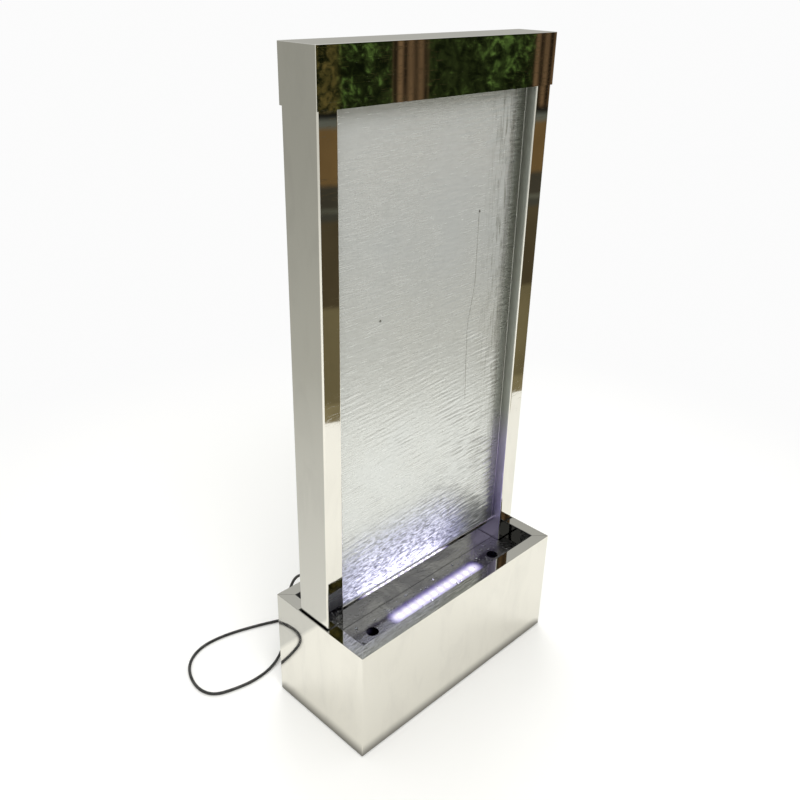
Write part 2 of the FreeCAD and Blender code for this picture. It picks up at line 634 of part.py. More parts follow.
def make_supply_cord():
    """Grommet, strain relief, the free cord, its put-away coil with a tie, and the plug-in adapter."""
    exit_axis = V(0, 1, 0)
    inside = V(cord_exit_x, inner_y - 2.0, cord_exit_z)
    rubber = rod(inside, exit_axis, grommet_radius, basin_wall + 4.0)
    waist = rod(V(cord_exit_x, inner_y, cord_exit_z), exit_axis, grommet_radius + 1, basin_wall)
    groove_bottom = grommet_hole - seat_gap
    waist = waist.cut(rod(V(cord_exit_x, inner_y, cord_exit_z), exit_axis, groove_bottom, basin_wall))
    rubber = rubber.cut(waist).cut(rod(inside, exit_axis, grommet_bore, basin_wall + 4.0))
    save("cord_grommet", rubber)
    tip = V(cord_exit_x, half_y + 2.0, cord_exit_z)
    relief = Part.makeCone(relief_root, relief_tip, relief_length, tip, exit_axis)
    neck = rod(V(cord_exit_x, inner_y - 3.0, cord_exit_z), exit_axis, grommet_bore - seat_gap,
               basin_wall + 5.0)
    save("cord_relief", relief.fuse(neck).removeSplitter())
    wire = route_wire(cord_points, free_radii(cord_points), "power cord", 5 * 2 * cord_radius)
    save("power_cord", swept(wire, cord_radius, "power cord"))
    low = coil_base_z
    high = coil_end_z + cord_radius
    centre = V(coil_centre.x, coil_centre.y, low)
    ring = rod(centre, V(0, 0, 1), coil_radius + cord_radius + 0.2, high - low)
    ring = ring.cut(rod(centre, V(0, 0, 1), coil_radius - cord_radius - 0.2, high - low))
    save("cord_coil", ring)
    turn_length = 2 * math.pi * coil_radius * coil_turns
    print("cord in all", round(wire.Length + turn_length + tail_length, 0))
    x = coil_centre.x
    tie_in = coil_radius - cord_radius - 0.2
    tie_out = coil_radius + cord_radius + 0.2
    tie_y = coil_centre.y
    strap = block(x - tie_width / 2, x + tie_width / 2, tie_y + tie_in - 2.5, tie_y + tie_out + tie_sheet,
                  0, high + tie_sheet)
    gap = block(x - tie_width, x + tie_width, tie_y + tie_in - 1.5, tie_y + tie_out + 0.05, low, high)
    save("coil_tie", strap.cut(gap))
    side = V(coil_centre.x, coil_centre.y - coil_radius, coil_end_z)
    save("cord_tail", rod(side, V(1, 0, 0), cord_radius, tail_length))
    relief_start = side + V(tail_length, 0, 0)
    save("adapter_relief", Part.makeCone(relief_tip, relief_root, adapter_relief, relief_start, V(1, 0, 0)))
    ax = relief_start.x + adapter_relief
    body = block(ax, ax + adapter_length, side.y - adapter_thick / 2, side.y + adapter_thick / 2, 0,
                 2 * coil_end_z)
    save("adapter_body", rounded(body, adapter_corner, V(1, 0, 0)))
    pins = []
    for dz in (-pin_spacing / 2, pin_spacing / 2):
        base = V(ax + adapter_length * 0.55, side.y + adapter_thick / 2, coil_end_z + dz)
        pins.append(rod(base, V(0, 1, 0), pin_radius, pin_length))
    save("adapter_pins", Part.makeCompound(pins))


make_basin()
make_ledges()
make_covers()
make_lights()
make_posts()
make_panel()
make_trough()
make_water_way()
make_header()
make_pump()
make_inner_leads()
make_supply_cord()
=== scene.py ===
"""A water wall fountain of polished stainless steel, dressed for its portrait.

The fountain stands as it is put together: its supply cord, the basin and its covers, the lights, the
posts, the wet panel, the water way, the header and the pump. Then come the floor and the light.
Metres throughout: +X runs along the basin, -Y is the front and +Z is up.
"""

import math

import bmesh
import bpy
import numpy as np
from mathutils import Matrix, Vector


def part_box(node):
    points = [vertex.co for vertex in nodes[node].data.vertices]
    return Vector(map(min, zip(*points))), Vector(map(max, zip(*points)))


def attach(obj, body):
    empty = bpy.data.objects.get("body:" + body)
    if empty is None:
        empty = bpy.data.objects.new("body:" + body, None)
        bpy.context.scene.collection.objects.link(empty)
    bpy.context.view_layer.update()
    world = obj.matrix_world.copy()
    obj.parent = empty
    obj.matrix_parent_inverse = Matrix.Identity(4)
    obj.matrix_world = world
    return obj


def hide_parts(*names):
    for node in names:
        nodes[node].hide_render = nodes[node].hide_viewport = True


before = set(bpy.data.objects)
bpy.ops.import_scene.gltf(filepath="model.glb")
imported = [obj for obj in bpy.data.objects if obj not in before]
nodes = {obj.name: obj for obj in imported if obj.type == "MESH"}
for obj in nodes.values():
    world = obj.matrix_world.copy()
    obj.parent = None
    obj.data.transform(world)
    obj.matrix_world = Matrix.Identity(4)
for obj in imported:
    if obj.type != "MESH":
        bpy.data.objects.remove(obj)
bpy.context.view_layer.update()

# Camera. It stands in front and to the left, a little above the header, and looks down to the basin's
# right end. Its lens is a plain 39 mm on a 36 mm sensor.
camera_place = Vector((-0.8657, -0.7996, 1.0916))
camera_turn = 0.7914
camera_dip = 0.4632
camera_roll = 0.0229


def stood(name, data):
    """A new object in the scene that shows this mesh, curve, lamp or camera."""
    made = bpy.data.objects.new(name, data)
    bpy.context.scene.collection.objects.link(made)
    return made


camera_data = bpy.data.cameras.new("portrait_camera")
camera_data.lens = 39.0
camera_data.sensor_width = 36.0
camera_data.clip_start = 0.02
camera = stood("portrait_camera", camera_data)
camera.matrix_world = (Matrix.Translation(camera_place) @ Matrix.Rotation(-camera_turn, 4, "Z")
                       @ Matrix.Rotation(math.pi / 2 - camera_dip, 4, "X")
                       @ Matrix.Rotation(camera_roll, 4, "Z"))
bpy.context.scene.camera = camera
bpy.context.scene.view_settings.view_transform = "Standard"


# Supply cord. One black PVC lead, 5 mm thick, leaves the strain relief at the back, drops to the floor,
# goes round to the left and comes back behind the basin, where its spare length is wound and tied.
cord_diameter = 0.005
cord_route = [
    (-0.120, 0.130, 0.150), (-0.120, 0.161, 0.150), (-0.123, 0.186, 0.128), (-0.131, 0.194, 0.092),
    (-0.140, 0.190, 0.055), (-0.152, 0.177, 0.024), (-0.177, 0.160, 0.007), (-0.212, 0.146, 0.0025),
    (-0.250, 0.143, 0.0025), (-0.288, 0.151, 0.0025), (-0.317, 0.163, 0.0025), (-0.328, 0.190, 0.0025),
    (-0.322, 0.226, 0.0025), (-0.304, 0.256, 0.0025), (-0.270, 0.274, 0.0025), (-0.226, 0.272, 0.0025),
    (-0.174, 0.256, 0.0025), (-0.118, 0.232, 0.0025), (-0.070, 0.205, 0.0025), (-0.028, 0.178, 0.0025),
    (0.0085, 0.1623, 0.0035)]
coil_middle = (0.020, 0.190)
coil_radius = 0.030
coil_turns = 4.0625
coil_pitch = 0.00505
coil_low = 0.0035
coil_start = -0.625 * math.pi
points_per_turn = 16
tail_end = (0.048, 0.160)


def place(tree, kind, inputs=None, **settings):
    """Puts one node in a tree, and fills or links its inputs."""
    made = tree.nodes.new(kind)
    for name, value in settings.items():
        setattr(made, name, value)
    for socket, value in (inputs or {}).items():
        if isinstance(value, bpy.types.NodeSocket):
            tree.links.new(value, made.inputs[socket])
        else:
            made.inputs[socket].default_value = value
    return made


def sums(tree, operation, first, second=0.0):
    """The output of one Math node."""
    return place(tree, "ShaderNodeMath", {0: first, 1: second}, operation=operation).outputs[0]


def times(tree, first, second):
    """The product of two values."""
    return sums(tree, "MULTIPLY", first, second)


def plus(tree, first, second):
    """The sum of two values."""
    return sums(tree, "ADD", first, second)


def vectors(tree, operation, first, second=(0.0, 0.0, 0.0)):
    """The outputs of one Vector Math node."""
    return place(tree, "ShaderNodeVectorMath", {0: first, 1: second}, operation=operation).outputs


def axes(tree, where):
    """The X, Y and Z of a vector."""
    return place(tree, "ShaderNodeSeparateXYZ", {0: where}).outputs


def reach_of(tree, first, second):
    """The length of a vector that has these two parts."""
    both = place(tree, "ShaderNodeCombineXYZ", {0: first, 1: second}).outputs[0]
    return vectors(tree, "LENGTH", both)["Value"]


def cell_distance(tree, where, scale):
    """How far a point is from the middle of its cell; scale is in cells to the metre."""
    return place(tree, "ShaderNodeTexVoronoi", {"Vector": where, "Scale": scale}).outputs["Distance"]


def remap(tree, value, low, high, to_low=0.0, to_high=1.0, smooth=False):
    """value, brought from low..high to to_low..to_high and held there."""
    return place(tree, "ShaderNodeMapRange", {0: value, 1: low, 2: high, 3: to_low, 4: to_high},
                 interpolation_type="SMOOTHSTEP" if smooth else "LINEAR").outputs[0]


def tint(tree, amount, first, second):
    """The colour that lies between two others."""
    mixed = place(tree, "ShaderNodeMix", {0: amount}, data_type="RGBA")
    for index, colour in ((6, first), (7, second)):
        if isinstance(colour, bpy.types.NodeSocket):
            tree.links.new(colour, mixed.inputs[index])
        else:
            mixed.inputs[index].default_value = (*colour, 1.0)
    return mixed.outputs[2]


def noise(tree, where, scale, detail=2.0, roughness=0.5, distortion=0.0):
    """A cloudy value from 0 to 1; scale is in lumps to the metre."""
    return place(tree, "ShaderNodeTexNoise", {"Vector": where, "Scale": scale, "Detail": detail,
                                              "Roughness": roughness, "Distortion": distortion}).outputs[0]


def stretch(tree, where, scale, turn=(0.0, 0.0, 0.0)):
    """The place vector, scaled and turned."""
    return place(tree, "ShaderNodeMapping", {"Vector": where, "Scale": scale, "Rotation": turn}).outputs[0]


def dent(tree, height, distance, strength=1.0, normal=None):
    """The normal of a surface that is raised by height times distance, in metres."""
    inputs = {"Height": height, "Distance": distance, "Strength": strength}
    if normal is not None:
        inputs["Normal"] = normal
    return place(tree, "ShaderNodeBump", inputs).outputs[0]


def new_finish(name, **constants):
    """A material with one Principled shader: gives its tree, its shader and its place vector."""
    made = bpy.data.materials.new(name)
    made.use_nodes = True
    tree = made.node_tree
    shader = tree.nodes["Principled BSDF"]
    for socket, value in constants.items():
        shader.inputs[socket.replace("_", " ")].default_value = value
    where = place(tree, "ShaderNodeTexCoord").outputs["Object"]
    return made, tree, shader, where


def feed(tree, shader, **outputs):
    """Links outputs to the shader's inputs of the same names."""
    for socket, value in outputs.items():
        tree.links.new(value, shader.inputs[socket.replace("_", " ")])


def effect(name, outputs, **values):
    """An empty shader node group that takes in a place vector and values, and puts out values: gives its
    tree, what comes in and where its results go."""
    tree = bpy.data.node_groups.new(name, "ShaderNodeTree")
    tree.interface.new_socket("Vector", in_out="INPUT", socket_type="NodeSocketVector")
    for socket, value in values.items():
        tree.interface.new_socket(socket, in_out="INPUT", socket_type="NodeSocketFloat").default_value = value
    for socket in outputs:
        tree.interface.new_socket(socket, in_out="OUTPUT", socket_type="NodeSocketFloat")
    return tree, tree.nodes.new("NodeGroupInput").outputs, tree.nodes.new("NodeGroupOutput").inputs


def use(tree, group, **inputs):
    """Places a group in a material, and gives its outputs."""
    return place(tree, "ShaderNodeGroup", {k.replace("_", " "): v for k, v in inputs.items()},
                 node_tree=group).outputs


def make_worn_and_highlit_edges():
    """Where a corner is rubbed, and where a painted highlight lightens it: the rounded normal is compared
    with the flat one, and noise breaks it up.
    """
    tree, given, result = effect("worn_and_highlit_edges", ["Edge"], Radius=0.001)
    round_normal = place(tree, "ShaderNodeBevel", {"Radius": given["Radius"]}, samples=4).outputs[0]
    flat_normal = place(tree, "ShaderNodeNewGeometry").outputs["True Normal"]
    likeness = vectors(tree, "DOT_PRODUCT", round_normal, flat_normal)["Value"]
    corner = remap(tree, likeness, 0.995, 0.86)
    broken = remap(tree, noise(tree, given["Vector"], 160.0, 3.0), 0.36, 0.62)
    tree.links.new(times(tree, corner, broken), result["Edge"])
    return tree


def make_settled_dust():
    """Dust lies in patches on what faces up."""
    tree, given, result = effect("settled_dust", ["Dust"])
    facing = axes(tree, place(tree, "ShaderNodeNewGeometry").outputs["Normal"])[2]
    patches = remap(tree, noise(tree, given["Vector"], 55.0, 5.0, 0.62), 0.42, 0.72)
    tree.links.new(times(tree, remap(tree, facing, 0.15, 0.95), patches), result["Dust"])
    return tree


def make_moulded_grain():
    """The fine spark-eroded grain of moulded plastic or rubber, with slow drifts of its tone."""
    tree, given, result = effect("moulded_grain", ["Height", "Tone"], Grains=1800.0)
    tree.links.new(cell_distance(tree, given["Vector"], given["Grains"]), result["Height"])
    tree.links.new(noise(tree, given["Vector"], 38.0, 4.0, 0.6), result["Tone"])
    return tree


worn_and_highlit_edges = make_worn_and_highlit_edges()
settled_dust = make_settled_dust()
moulded_grain = make_moulded_grain()


def moulded(name, dark, pale, roughness, grains=1800.0, grain_height=0.00004, dusty=0.35, edge=0.0008,
            **constants):
    """A moulded plastic or rubber: grain, drifting tone, pale corners that are partly rubbed and partly a
    painted highlight, and a little dust.
    """
    made, tree, shader, where = new_finish(name, **constants)
    grain = use(tree, moulded_grain, Vector=where, Grains=grains)
    rubbed_and_highlit = use(tree, worn_and_highlit_edges, Vector=where, Radius=edge)["Edge"]
    dust = times(tree, use(tree, settled_dust, Vector=where)["Dust"], dusty)
    body = tint(tree, grain["Tone"], dark, pale)
    rubbed_highlight_colour = tuple(min(1.0, c * 1.9 + 0.03) for c in pale)
    # Corners are made paler, partly from rubbing and partly as a painted highlight.
    body = tint(tree, times(tree, rubbed_and_highlit, 0.55), body, rubbed_highlight_colour)
    body = tint(tree, dust, body, (0.42, 0.41, 0.39))
    dull = remap(tree, grain["Tone"], 0.3, 0.7, roughness - 0.07, roughness + 0.09)
    feed(tree, shader, Base_Color=body, Roughness=plus(tree, dull, times(tree, dust, 0.3)),
         Normal=dent(tree, grain["Height"], grain_height))
    return made


def dress(material, *names):
    """Gives CAD nodes their finish."""
    for name in names:
        nodes[name].data.materials.clear()
        nodes[name].data.materials.append(material)


cord_sheath = moulded("cord_sheath", (0.010, 0.010, 0.011), (0.022, 0.022, 0.023), 0.38, grains=900.0,
                      grain_height=0.00003, dusty=0.18)
turns = coil_start + 2 * math.pi * np.arange(1, round(coil_turns * points_per_turn) + 1) / points_per_turn
coil_points = np.stack([coil_middle[0] + coil_radius * np.cos(turns),
                        coil_middle[1] + coil_radius * np.sin(turns),
                        coil_low + coil_pitch * (turns - coil_start) / (2 * math.pi)], axis=1)
tail_z = float(coil_points[-1, 2])
tail_points = [(x, tail_end[1], tail_z) for x in (0.030, 0.039, tail_end[0])]
line_points = np.array(cord_route + coil_points.tolist() + tail_points)

cord_curve = bpy.data.curves.new("supply_cord", "CURVE")
cord_curve.dimensions = "3D"
cord_curve.bevel_depth = cord_diameter / 2
cord_curve.bevel_resolution = 5
cord_curve.resolution_u = 8
cord_curve.use_fill_caps = True
cord_line = cord_curve.splines.new("NURBS")
cord_line.points.add(len(line_points) - 1)
cord_line.points.foreach_set("co", np.hstack([line_points, np.ones((len(line_points), 1))]).ravel())
cord_line.order_u = 3
cord_line.use_endpoint_u = True
cord_curve.materials.append(cord_sheath)
supply_cord = stood("supply_cord", cord_curve)
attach(supply_cord, "stand")
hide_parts("power_cord", "cord_coil", "cord_tail")


# Strain relief and grommet. Soft black rubber: the relief is a tapered sleeve with grooves that let it
# bend, pushed through a grommet that snaps into the basin's rear wall.
def meshed(name, points, faces, material, smooth=True):
    """A new object whose mesh has these points and faces."""
    mesh = bpy.data.meshes.new(name)
    mesh.from_pydata(np.reshape(points, (-1, 3)).tolist(), [], faces)
    mesh.update()
    if smooth:
        mesh.shade_smooth()
    mesh.materials.append(material)
    return stood(name, mesh)


def surface(name, points, material, wrap=True):
    """A mesh from a grid of points, rows by columns. A wrapped grid joins its last column to its first,
    and a face closes each end."""
    rows, columns = points.shape[:2]
    index = np.arange(rows * columns).reshape(rows, columns)
    ahead = np.roll(index, -1, axis=1) if wrap else index[:, 1:]
    here = index if wrap else index[:, :-1]
    faces = np.stack([here[:-1], ahead[:-1], ahead[1:], here[1:]], axis=-1).reshape(-1, 4).tolist()
    if wrap:
        faces += [index[0, ::-1].tolist(), index[-1].tolist()]
    return meshed(name, points, faces, material)


def turned_points(start, along, reach, radii):
    """A turned shape: at each share of the reach along the axis, a circle of the radius given there."""
    along = np.array(along, float)
    side = np.cross(along, (0.0, 0.0, 1.0)) if abs(along[2]) < 0.9 else np.array((1.0, 0.0, 0.0))
    up = np.cross(side, along)
    sides = 48
    angle = np.linspace(0, 2 * math.pi, sides, endpoint=False)
    ring = np.cos(angle)[:, None] * side + np.sin(angle)[:, None] * up
    centres = np.array(start, float) + np.asarray(reach)[:, None] * along
    return centres[:, None, :] + np.asarray(radii)[:, None, None] * ring[None, :, :]


def face_outwards(piece):
    """Recalculates the normals of a closed piece so that they point out of it."""
    shell = bmesh.new()
    shell.from_mesh(piece.data)
    bmesh.ops.remove_doubles(shell, verts=shell.verts, dist=1e-7)
    bmesh.ops.recalc_face_normals(shell, faces=shell.faces)
    shell.to_mesh(piece.data)
    shell.free()


soft_rubber = moulded("soft_rubber", (0.014, 0.014, 0.014), (0.030, 0.030, 0.029), 0.62, grains=1100.0,
                      dusty=0.30)


def grooved_sleeve(name, start, along, length, root, tip, grooves, depth):
    """A tapered sleeve: the radius falls in a straight line and is cut back by rounded grooves, which
    are the part of a cosine above a half, and both ends are rounded over."""
    rows = 160
    grooved_from, grooved_to = 0.10, 0.93
    rounded_share = 0.06
    share = np.linspace(0.0, 1.0, rows)
    taper = root + (tip - root) * share
    wave = np.clip(np.cos(2 * math.pi * grooves * share) - 0.3, 0, None) / 0.7
    inside = np.clip(np.minimum(share, 1 - share) / rounded_share, 0, 1)
    cut_back = depth * wave * (share > grooved_from) * (share < grooved_to)
    radii = (taper - cut_back) * (0.82 + 0.18 * np.sqrt(inside))
    piece = surface(name, turned_points(start, along, share * length, radii), soft_rubber)
    face_outwards(piece)
    return piece


sleeve_root = 0.0052
sleeve_tip = 0.0032
relief_low, relief_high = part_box("cord_relief")
relief_root_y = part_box("cord_grommet")[1].y
relief_axis = ((relief_low.x + relief_high.x) / 2, relief_root_y, (relief_low.z + relief_high.z) / 2)
relief_sleeve = grooved_sleeve("relief_sleeve", relief_axis, (0, 1, 0), relief_high.y - relief_root_y,
                               sleeve_root, sleeve_tip, grooves=6, depth=0.0009)
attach(relief_sleeve, "stand")
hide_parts("cord_relief")
dress(soft_rubber, "cord_grommet", "foot_pads", "spray_bar_plug", "shaft_bush", "suction_cups")


# Cable tie. A black nylon strap with fine cross ribs holds the coil's turns together.
def make_ribbed_nylon():
    """Black nylon with fine ribs across the strap, worked out from waves along Z and Y."""
    made, tree, shader, where = new_finish("ribbed_nylon")
    ribs = place(tree, "ShaderNodeTexWave", {"Vector": stretch(tree, where, (0.0, 1.0, 1.0)), "Scale": 260.0},
                 bands_direction="DIAGONAL").outputs[0]
    dust = use(tree, settled_dust, Vector=where)["Dust"]
    feed(tree, shader, Base_Color=tint(tree, times(tree, dust, 0.3), (0.016, 0.016, 0.017),
                                       (0.30, 0.30, 0.29)),
         Roughness=remap(tree, ribs, 0.0, 1.0, 0.34, 0.52), Normal=dent(tree, ribs, 0.0002))
    return made


dress(make_ribbed_nylon(), "coil_tie")


# Plug-in adapter. A black moulded case of two halves that meet in a seam, with its own cord sleeve and
# two plated pins on its rear face.
def soft_block(name, low, high, material, seam_depth):
    """A box with rounded corners: a ball whose cosines and sines are raised to a small power, cut in by
    a narrow bell-shaped groove at mid height, where the two halves of the case meet."""
    centre = (np.array(low) + np.array(high)) / 2
    half = (np.array(high) - np.array(low)) / 2
    power = 0.22
    seam_half = 0.0005
    rows, columns = 120, 240
    pole = math.pi / 2 - 0.002
    latitude = np.linspace(-pole, pole, rows)[:, None]
    longitude = np.linspace(0, 2 * math.pi, columns, endpoint=False)[None, :]

    def drawn(value):
        """A cosine or sine, pushed out towards one or minus one."""
        return np.sign(value) * np.abs(value) ** power

    across = drawn(np.cos(latitude))
    x = half[0] * drawn(np.sin(latitude)) * np.ones_like(longitude)
    y = half[1] * across * drawn(np.cos(longitude))
    z = half[2] * across * drawn(np.sin(longitude))
    inwards = seam_depth * np.exp(-(z / seam_half) ** 2)
    y = y * (1 - inwards / half[1])
    x = x * (1 - inwards / half[0])
    piece = surface(name, np.stack([x, y, z], axis=-1) + centre, material)
    face_outwards(piece)
    return piece


adapter_plastic = moulded("adapter_plastic", (0.016, 0.016, 0.017), (0.030, 0.030, 0.031), 0.45,
                          grains=1500.0, grain_height=0.00006)
adapter_case = soft_block("adapter_case", *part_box("adapter_body"), adapter_plastic, seam_depth=0.0006)
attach(adapter_case, "stand")
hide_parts("adapter_body")

sleeve_low, sleeve_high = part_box("adapter_relief")
sleeve_start = sleeve_high.x + 0.0004
adapter_sleeve = grooved_sleeve("adapter_sleeve", (sleeve_start, tail_end[1], tail_z), (-1, 0, 0),
                                sleeve_start - sleeve_low.x, sleeve_root, sleeve_tip, grooves=4, depth=0.0008)
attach(adapter_sleeve, "stand")
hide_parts("adapter_relief")


def make_plated_pins():
    """Nickel plate over brass: fine scratches along the pin, and brass where the plate is rubbed."""
    made, tree, shader, where = new_finish("plated_pins", Metallic=1.0)
    lines = noise(tree, stretch(tree, where, (3000.0, 60.0, 3000.0)), 1.0, 3.0)
    rubbed_and_highlit = use(tree, worn_and_highlit_edges, Vector=where, Radius=0.0006)["Edge"]
    feed(tree, shader, Base_Color=tint(tree, rubbed_and_highlit, (0.66, 0.65, 0.61), (0.62, 0.48, 0.26)),
         Roughness=remap(tree, lines, 0.3, 0.7, 0.14, 0.32), Normal=dent(tree, lines, 0.00001))
    return made


dress(make_plated_pins(), "adapter_pins")


# Basin. A box of folded 1.5 mm stainless sheet, polished like a mirror, with a rim folded inwards and
# mitred at its corners. The sheet is never quite flat, and it carries smudges and fine hairlines.
def make_sheet_marks():
    """What handling and folding leave on polished sheet: slow waves in the sheet itself, wiped smudges
    and fine hairlines in two directions."""
    tree, given, result = effect("sheet_marks", ["Waves", "Smudge", "Hairline"])
    where = given["Vector"]
    tree.links.new(noise(tree, stretch(tree, where, (1.0, 1.0, 0.55)), 5.5, 1.0, 0.4), result["Waves"])
    wiped = noise(tree, stretch(tree, where, (1.0, 1.0, 0.35), (0.0, 0.5, 0.3)), 26.0, 4.0, 0.6, 0.6)
    tree.links.new(remap(tree, wiped, 0.50, 0.78), result["Smudge"])
    lines = [noise(tree, stretch(tree, where, scale, turn), 1.0, 1.0)
             for scale, turn in (((40.0, 40.0, 2200.0), (0.05, 0.03, 0.0)),
                                 ((30.0, 30.0, 1700.0), (0.9, 0.7, 0.0)))]
    hairs = [remap(tree, line, 0.70, 0.76) for line in lines]
    tree.links.new(sums(tree, "MAXIMUM", *hairs), result["Hairline"])
    return tree


sheet_marks = make_sheet_marks()
rim_low, rim_high = 0.1972, 0.1976
wall_face_x, wall_face_y = 0.2219, 0.0994
violet_light_low, violet_light_high = 0.34, 0.44


def make_mirror_steel(name, with_basin_shade=False, wet_shaded_face=None):
    """Polished stainless: nearly a mirror, a little warm, duller where it was touched, and lighter at its
    edges, partly from rubbing and partly as a painted highlight. For the basin, its inside below the rim is
    painted dark as shade and its rim top is painted darker than its walls, as shade. A wet face, this far
    from the middle on both sides, is misted over, which dulls it, and is painted darker as shade, with
    painted violet light from the lights low down."""
    made, tree, shader, where = new_finish(name, Metallic=1.0)
    marks = use(tree, sheet_marks, Vector=where)
    rubbed_and_highlit = use(tree, worn_and_highlit_edges, Vector=where, Radius=0.0008)["Edge"]
    dull = plus(tree, remap(tree, marks["Smudge"], 0.0, 1.0, 0.030, 0.070),
                times(tree, marks["Hairline"], 0.10))
    body = tint(tree, marks["Smudge"], (0.835, 0.830, 0.805), (0.77, 0.765, 0.745))
    # Edges are made lighter, partly from rubbing and partly as a painted highlight.
    body = tint(tree, times(tree, rubbed_and_highlit, 0.5), body, (0.93, 0.93, 0.92))
    if with_basin_shade:
        spot = axes(tree, vectors(tree, "ABSOLUTE", where)["Vector"])
        # The rim top is painted darker than the walls, as shade.
        body = tint(tree, remap(tree, spot[2], rim_low, rim_high), body, (0.55, 0.545, 0.51))
        # Inside the walls, below the rim, the steel is painted dark as shade under the flange.
        inside_shade = times(tree, remap(tree, spot[0], wall_face_x + 0.0002, wall_face_x - 0.0002),
                       remap(tree, spot[1], wall_face_y + 0.0002, wall_face_y - 0.0002))
        inside_shade = times(tree, inside_shade, remap(tree, spot[2], rim_low + 0.0002, rim_low - 0.0006))
        body = tint(tree, inside_shade, body, (0.21, 0.21, 0.205))
    if wet_shaded_face:
        spot = axes(tree, vectors(tree, "ABSOLUTE", where)["Vector"])
        # The inner face is misted, which dulls it, and painted darker as shade, with painted violet light
        # from the lights low down.
        mist = remap(tree, spot[0], wet_shaded_face + 0.0004, wet_shaded_face + 0.0002)
        misted = tint(tree, remap(tree, spot[2], violet_light_high, violet_light_low, smooth=True), (0.60, 0.62, 0.585),
                      (0.66, 0.60, 0.90))
        body = tint(tree, mist, body, misted)
        dull = plus(tree, dull, times(tree, mist, 0.30))
    waved = dent(tree, marks["Waves"], 0.0008)
    feed(tree, shader, Base_Color=body, Roughness=plus(tree, dull, times(tree, rubbed_and_highlit, 0.08)),
         Normal=dent(tree, marks["Hairline"], 0.000004, normal=waved))
    return made


dress(make_mirror_steel("basin_steel", with_basin_shade=True), "basin", "left_ledge", "right_ledge")


# Cover and rear deck. Polished sheet like the basin's, but wet: drops and a thin film of water lie on
# it, so that it mirrors in patches. Real drops stand on the cover round the lights.
def make_water_marks():
    """Water that lies on a level sheet: a rippled film in patches, and round drops of two sizes. A drop
    is a cell's distance from its middle, turned over and cut off."""
    tree, given, result = effect("water_marks", ["Film", "Ripple", "Drops"])
    where = given["Vector"]
    tree.links.new(remap(tree, noise(tree, where, 16.0, 4.0, 0.55, 0.8), 0.40, 0.60, smooth=True),
                   result["Film"])
    tree.links.new(noise(tree, stretch(tree, where, (0.7, 1.5, 1.0)), 62.0, 3.0, 0.5, 1.2), result["Ripple"])
    drops = [remap(tree, cell_distance(tree, where, scale), size, 0.0, smooth=True)
             for scale, size in ((150.0, 0.30), (330.0, 0.34))]
    tree.links.new(sums(tree, "MAXIMUM", *drops), result["Drops"])
    return tree


water_marks = make_water_marks()
light_low, light_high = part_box("led_domes")
light_row_y = (light_low.y + light_high.y) / 2
row_half = (light_high.x - light_low.x) / 2
light_count = 12
light_pitch = (2 * row_half - (light_high.y - light_low.y)) / (light_count - 1)


def make_wet_steel():
    """Sheet with water standing on it, its steel painted dark grey as shade in the recess: dull between the
    drops and bright in them, painted darker as shade in a ragged band behind the row of lights, and given a
    painted glow of that row close round it."""
    made, tree, shader, where = new_finish("wet_deck", Metallic=1.0, Coat_Roughness=0.03, Coat_IOR=1.33)
    marks = use(tree, sheet_marks, Vector=where)
    water = use(tree, water_marks, Vector=where)
    # The steel is painted dark grey here, as shade in the recess below the rim.
    body = tint(tree, water["Film"], (0.20, 0.20, 0.205), (0.27, 0.27, 0.265))
    body = tint(tree, times(tree, marks["Smudge"], 0.35), body, (0.19, 0.19, 0.19))
    parts = axes(tree, where)
    # A ragged band behind the row of lights is painted darker as shade.
    ragged = times(tree, noise(tree, where, 45.0, 3.0), 0.014)
    behind = sums(tree, "ABSOLUTE", sums(tree, "SUBTRACT", parts[1], light_row_y + 0.011))
    shade_band = times(tree, remap(tree, plus(tree, behind, ragged), 0.015, 0.008, smooth=True),
                remap(tree, sums(tree, "ABSOLUTE", parts[0]), 0.19, 0.13))
    body = tint(tree, shade_band, body, (0.085, 0.078, 0.10))
    # Round the row of lights the sheet is given a painted glow: emission that stands in for their light.
    past = sums(tree, "MAXIMUM", sums(tree, "SUBTRACT", sums(tree, "ABSOLUTE", parts[0]), row_half), 0.0)
    gap = reach_of(tree, past, sums(tree, "SUBTRACT", parts[1], light_row_y))
    between = sums(tree, "COSINE", times(tree, parts[0], 2 * math.pi / light_pitch))
    core = tint(tree, remap(tree, between, -0.6, 1.0), (0.97, 0.94, 1.0), (0.82, 0.76, 1.0))
    glow = sums(tree, "POWER", remap(tree, gap, 0.0240, 0.0030, smooth=True), 1.8)
    dull = remap(tree, water["Film"], 0.0, 1.0, 0.28, 0.17)
    waved = dent(tree, marks["Waves"], 0.003)
    rippled = dent(tree, water["Ripple"], 0.0010, normal=waved)
    feed(tree, shader, Base_Color=body, Roughness=dull, Coat_Weight=times(tree, water["Film"], 0.6),
         Emission_Color=tint(tree, glow, (0.34, 0.26, 1.0), core), Emission_Strength=glow,
         Normal=dent(tree, water["Drops"], 0.0004, 0.8, rippled))
    return made


dress(make_wet_steel(), "cover_plate", "rear_deck")


def make_clear_water():
    """Water as it stands in a drop: clear, with the faintest blue, and stirred at its surface."""
    made, tree, shader, where = new_finish("clear_water", Transmission_Weight=1.0, IOR=1.33, Roughness=0.02)
    stirred = noise(tree, where, 420.0, 2.0)
    feed(tree, shader, Base_Color=tint(tree, stirred, (0.97, 0.98, 0.98), (0.93, 0.96, 0.97)),
         Normal=dent(tree, stirred, 0.00006))
    return made


